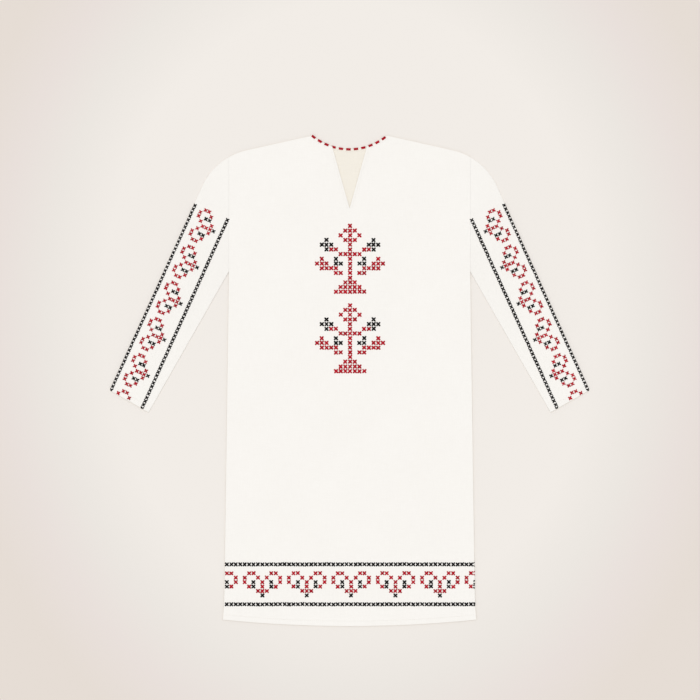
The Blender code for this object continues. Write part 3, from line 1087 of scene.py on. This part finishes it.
def linen_material(name, light, shade):
    """Plain-weave linen: warp and weft pass over and under each other in turn.

    With u and v in threads, |sin(pi u)| and |sin(pi v)| are the threads' crowns. Where warp lies
    on top its crown is narrow across and long along, and the other way round where weft does.
    The crowns are painted lighter and the gaps between them darker, as painted shade, and the
    point number paints shade on the rounded edges.
    """
    material, tree, shader = start_material(name, {
        "Roughness": 0.86,
        "Specular IOR Level": 0.22,
        "Sheen Weight": 0.10,
        "Sheen Roughness": 0.5,
    })
    chart, across, along = read_cloth_chart(tree)
    slubs = []
    for stretch in SLUB_STRETCHES:
        mapping = node(tree, "ShaderNodeMapping", {"Scale": stretch})
        tree.links.new(chart, mapping.inputs["Vector"])
        noise = node(tree, "ShaderNodeTexNoise", {"Scale": 0.55, "Detail": 3.0, "Roughness": 0.6})
        tree.links.new(mapping.outputs[0], noise.inputs["Vector"])
        slubs.append(noise.outputs["Fac"])
    slub = math_node(tree, "ADD", *slubs)

    u, v = (math_node(tree, "MULTIPLY", part, 1 / WEAVE_PITCH) for part in (across, along))
    crown_u, crown_v = crowns(tree, u), crowns(tree, v)
    cells = math_node(tree, "ADD", math_node(tree, "FLOOR", u), math_node(tree, "FLOOR", v))
    weft_over = math_node(tree, "ABSOLUTE", math_node(tree, "MODULO", cells, 2.0))
    weave = node(tree, "ShaderNodeMix", data_type="FLOAT")
    tree.links.new(weft_over, weave.inputs["Factor"])
    for key, narrow, long in (("A", crown_u, crown_v), ("B", crown_v, crown_u)):
        crown = math_node(tree, "MULTIPLY", math_node(tree, "POWER", narrow, CROWN_ACROSS),
                          math_node(tree, "POWER", long, CROWN_ALONG))
        tree.links.new(crown, weave.inputs[key])
    crown = weave.outputs["Result"]
    add_relief(tree, shader, weighted_sum(tree, crown, [(slub, SLUB_HEIGHT)]), strength=0.55)

    mottle = node(tree, "ShaderNodeTexNoise", {"Scale": 9.0, "Detail": 3.0, "Roughness": 0.55})
    tree.links.new(chart, mottle.inputs["Vector"])
    # The crowns' share of the amount is painted shade; slubs and mottle are the yarn's own tone.
    amount = weighted_sum(tree, MEAN_TONE - SLUB_TONE - 0.5 * MOTTLE_TONE, [
        (slub, SLUB_TONE), (crown, CROWN_PAINTED_SHADE), (mottle.outputs["Fac"], MOTTLE_TONE),
    ])
    # Painted shade on the rounded edges, and the small linen stitches' own darker tone, by the
    # point number.
    edge = node(tree, "ShaderNodeAttribute", attribute_name="tone")
    edge_shade_and_stitch_amount = math_node(tree, "MULTIPLY", edge.outputs["Fac"], EDGE_SHADE_AND_STITCH_SHARE)
    tone = two_tones(tree, edge_shade_and_stitch_amount, two_tones(tree, amount, shade, light), EDGE_SHADE_AND_STITCH_TONE)
    tree.links.new(tone, shader.inputs["Base Color"])
    return material


PLY_PITCH = 0.85 * MM
PLY_SLANT = 0.55  # how far a ply goes round the thread for each step along it
# The plies' share of the tone is painted shade: lighter on their crowns, darker between them.
OWN_TONE = 0.6  # the stitch's own share of the tone, the rest being its plies'


def thread_material(name, dark, bright):
    """Soft cotton floss: fine plies that wind round the thread, and a tone of its own for each
    stitch. The plies are bands along u plus v, where u runs along the thread and v round it. Their
    crowns are painted lighter and the grooves between them darker, as painted shade."""
    material, tree, shader = start_material(name, {
        "Roughness": 0.7,
        "Specular IOR Level": 0.12,
        "Sheen Weight": 0.02,
        "Sheen Roughness": 0.4,
    })
    _, along, around = read_cloth_chart(tree)
    ply = crowns(tree, weighted_sum(tree, around, [(along, PLY_SLANT)]), PLY_PITCH)
    add_relief(tree, shader, ply, strength=0.6)
    own = node(tree, "ShaderNodeAttribute", attribute_name="tone")
    # The tone: the stitch's own, and painted shade between the plies.
    amount = weighted_sum(tree, 0.0, [(own.outputs["Fac"], OWN_TONE), (ply, 1 - OWN_TONE)])
    tree.links.new(two_tones(tree, amount, dark, bright), shader.inputs["Base Color"])
    return material


# ---------------------------------------------------------------------------- neck stitch
# The strands of a stitch: how many steps each lies from the middle one, away from the edge, and
# how far it sinks, in half thicknesses.
Strand = namedtuple("Strand", "offset sink")
STRANDS = (Strand(-1, 0.9), Strand(0, 0.1), Strand(1, 0.0))
STRAND_HALF = 1.08 * NECK_DASH_WIDTH / (2 * len(STRANDS))  # half a strand's width
STRAND_STEP = 1.84 * STRAND_HALF
STRAND_HEIGHT = 0.62 * MM  # half a strand's thickness
STRAND_NARROWING = 0.7
STRAND_CENTRE = 0.55  # height of its middle line, in half thicknesses, as the next one
STRAND_DIVE = 0.9
EDGE_HOLD = 1.0 * MM  # the least distance inside the neck's edge where a strand takes its height
STRAND_SPREAD = 0.03  # standard deviation of a strand's length, as a share of it
STRAND_TONE_SPREAD = 0.2
DASH_SIDES = 6
DASH_STEPS = 8
NECK_SEED = 311


def make_neck_stitch(thread):
    """Running stitches round the neck, each a flat bundle of three thick strands.

    The stitches follow the neck curve. Those over the slit lie on the back's neck edge, the
    others on the front's. The inner two strands lie on the cloth and the third hugs its edge,
    lower down. Each strand is a tube whose ends narrow by the sixth power of the distance from
    its middle, and dive into the cloth by the seventh.
    """
    random = np.random.default_rng(NECK_SEED)
    turn = np.linspace(0, TAU, DASH_SIDES, endpoint=False)
    along = -np.cos(np.linspace(0, math.pi, DASH_STEPS + 1))
    narrow = np.sqrt(1 - STRAND_NARROWING * np.abs(along) ** 6)
    tubes, tones = [], []
    for number in range(NECK_DASHES):
        middle = NECK_DASH_FIRST + number * NECK_DASH_STEP
        surface = back_top if abs(middle) < SLIT_HALF else front_top
        for strand in STRANDS:
            radius = NECK_RADIUS + NECK_DASH_INSET + strand.offset * STRAND_STEP
            half = NECK_DASH_LENGTH / 2 * (1 + random.normal(0, STRAND_SPREAD))
            angle = (middle + along * half) / NECK_RADIUS
            on_cloth = max(radius, NECK_RADIUS + EDGE_HOLD)
            level = surface(on_cloth * np.sin(angle), NECK_CENTRE + on_cloth * np.cos(angle))
            centre = STRAND_CENTRE - strand.sink - STRAND_DIVE * np.abs(along) ** 7
            up = centre[:, None] + narrow[:, None] * np.sin(turn)
            ring = radius + narrow[:, None] * STRAND_HALF * np.cos(turn)
            x = ring * np.sin(angle)[:, None]
            drop = NECK_CENTRE + ring * np.cos(angle)[:, None]
            tubes.append(to_world(x, drop, level[:, None] + up * STRAND_HEIGHT))
            tones.append(np.clip(0.5 + random.normal(0, STRAND_TONE_SPREAD), 0, 1))
    around_v = np.broadcast_to(turn * STRAND_HALF, (DASH_STEPS + 1, DASH_SIDES))
    along_u = np.broadcast_to(along[:, None] * NECK_DASH_LENGTH / 2, around_v.shape)
    chart = np.stack([along_u, around_v], -1).reshape(-1, 2)
    faces = stitch_faces(len(tubes), DASH_SIDES, DASH_STEPS)
    piece = add_mesh("neck_stitch", np.concatenate(tubes), faces, [thread],
                     uv=np.tile(chart, (len(tubes), 1)))
    set_tone(piece, np.repeat(tones, around_v.size))
    return piece


# ---------------------------------------------------------------------------- stage
VIEW_WIDTH = 1.498
VIEW_CENTRE_X = 0.9 * MM
VIEW_CENTRE_Y = 0.066
CAMERA_HEIGHT = 6.0
SENSOR = 36.0
FLOOR_REACH = 30.0
FLOOR_LEVEL = -0.2 * MM
ROOM_LIGHT = 0.66
WINDOW_LIGHT = 1.255
WINDOW_SPREAD = math.radians(60)
WINDOW_LEAN = (math.radians(-8), math.radians(-4), 0)


def make_stage():
    """A pale floor with painted light, darker toward its edges, soft even light, and a camera
    straight above.
    """
    floor_mesh = bpy.data.meshes.new("floor")
    corners = [(-1, -1), (1, -1), (1, 1), (-1, 1)]
    points = [(x * FLOOR_REACH, y * FLOOR_REACH, FLOOR_LEVEL) for x, y in corners]
    floor_mesh.from_pydata(points, [], [(0, 1, 2, 3)])
    floor_mesh.materials.append(floor_with_painted_light())
    floor = bpy.data.objects.new("floor", floor_mesh)
    bpy.context.scene.collection.objects.link(floor)

    world = bpy.data.worlds.new("soft_room")
    world.use_nodes = True
    background = world.node_tree.nodes["Background"]
    background.inputs["Color"].default_value = (1.0, 0.995, 0.985, 1)
    background.inputs["Strength"].default_value = ROOM_LIGHT
    bpy.context.scene.world = world

    sun = bpy.data.lights.new("window", "SUN")
    sun.energy = WINDOW_LIGHT
    sun.angle = WINDOW_SPREAD
    lamp = bpy.data.objects.new("window", sun)
    lamp.rotation_euler = WINDOW_LEAN
    bpy.context.scene.collection.objects.link(lamp)

    camera = bpy.data.cameras.new("camera")
    camera.sensor_width = SENSOR
    camera.lens = SENSOR * CAMERA_HEIGHT / VIEW_WIDTH
    eye = bpy.data.objects.new("camera", camera)
    eye.location = (VIEW_CENTRE_X, VIEW_CENTRE_Y, CAMERA_HEIGHT)
    bpy.context.scene.collection.objects.link(eye)
    bpy.context.scene.camera = eye
    bpy.context.scene.view_settings.view_transform = "Standard"


def main():
    """Sets the stage, lays out the cloth, works the embroidery on it, and attaches each piece to
    the root body.
    """
    make_stage()
    linen = linen_material("linen", light=(0.945, 0.924, 0.891), shade=(0.890, 0.863, 0.823))
    # The back's inside: the same linen with painted shade, darker and yellower, where it shows
    # through the slit.
    inside = linen_material("linen_inside_painted_shade", light=(0.910, 0.865, 0.782),
                            shade=(0.843, 0.793, 0.705))
    red = thread_material("red_thread", dark=(0.30, 0.004, 0.012), bright=(0.57, 0.011, 0.027))
    black = thread_material("black_thread", dark=(0.004, 0.004, 0.004),
                            bright=(0.011, 0.010, 0.010))
    threads = (red, black)

    back = add_panel("back_linen", False, back_top, back_under, [linen, inside])
    front = add_panel("front_linen", True, front_top, front_under, [linen])
    left = add_sleeve("sleeve_left_linen", 1, linen)
    right = add_sleeve("sleeve_right_linen", -1, linen)
    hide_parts("back")
    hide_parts("front")
    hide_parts("sleeve_left")
    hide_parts("sleeve_right")

    trees = make_trees(threads)
    front_band = make_hem_band(threads, "front", lay_on_front)
    back_band = make_hem_band(threads, "back", lay_on_back)
    left_band = make_sleeve_band(threads, "sleeve_left", 1)
    right_band = make_sleeve_band(threads, "sleeve_right", -1)
    neck = make_neck_stitch(red)
    stitching = make_edge_stitching(linen)

    for piece in (back, front, left, right, *sum(stitching.values(), [])):
        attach(piece, "root")
    for piece in (*trees, *front_band, *back_band, *left_band, *right_band, neck):
        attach(piece, "root")


main()
